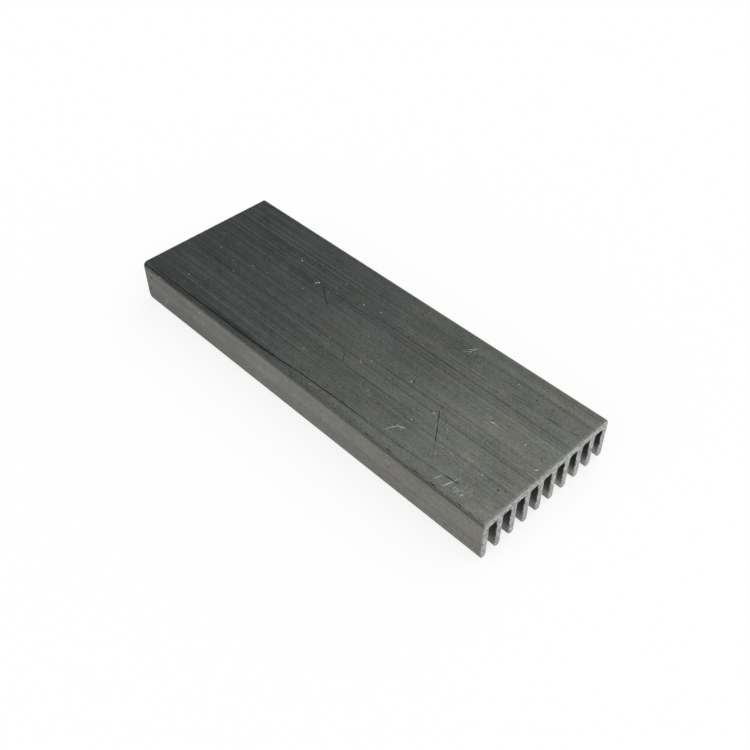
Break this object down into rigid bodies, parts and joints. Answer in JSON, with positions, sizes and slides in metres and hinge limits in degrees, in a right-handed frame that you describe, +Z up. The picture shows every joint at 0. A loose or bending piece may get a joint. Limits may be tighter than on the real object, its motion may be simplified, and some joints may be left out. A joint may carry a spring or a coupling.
{
  "type": "extruded heat sink",
  "caption": "Long flat-topped aluminium heat sink, extruded in one piece, with a row of tapered round-tipped fins running its whole length underneath and square saw-cut ends.",
  "frame": {"origin": "under the middle of the part, level with the fin tips that it stands on", "axes": "+X across the fins, +Y along the extrusion towards the end with the worn corner, +Z up from the fin tips to the flat mounting face"},
  "size_m": [0.035, 0.1, 0.01],
  "materials": {
    "mill_finish_aluminium": "dull mill finish with die lines, bright at the saw-cut ends"
  },
  "bodies": {
    "root": {"heat_sink": "mill_finish_aluminium"}
  },
  "joints": []
}
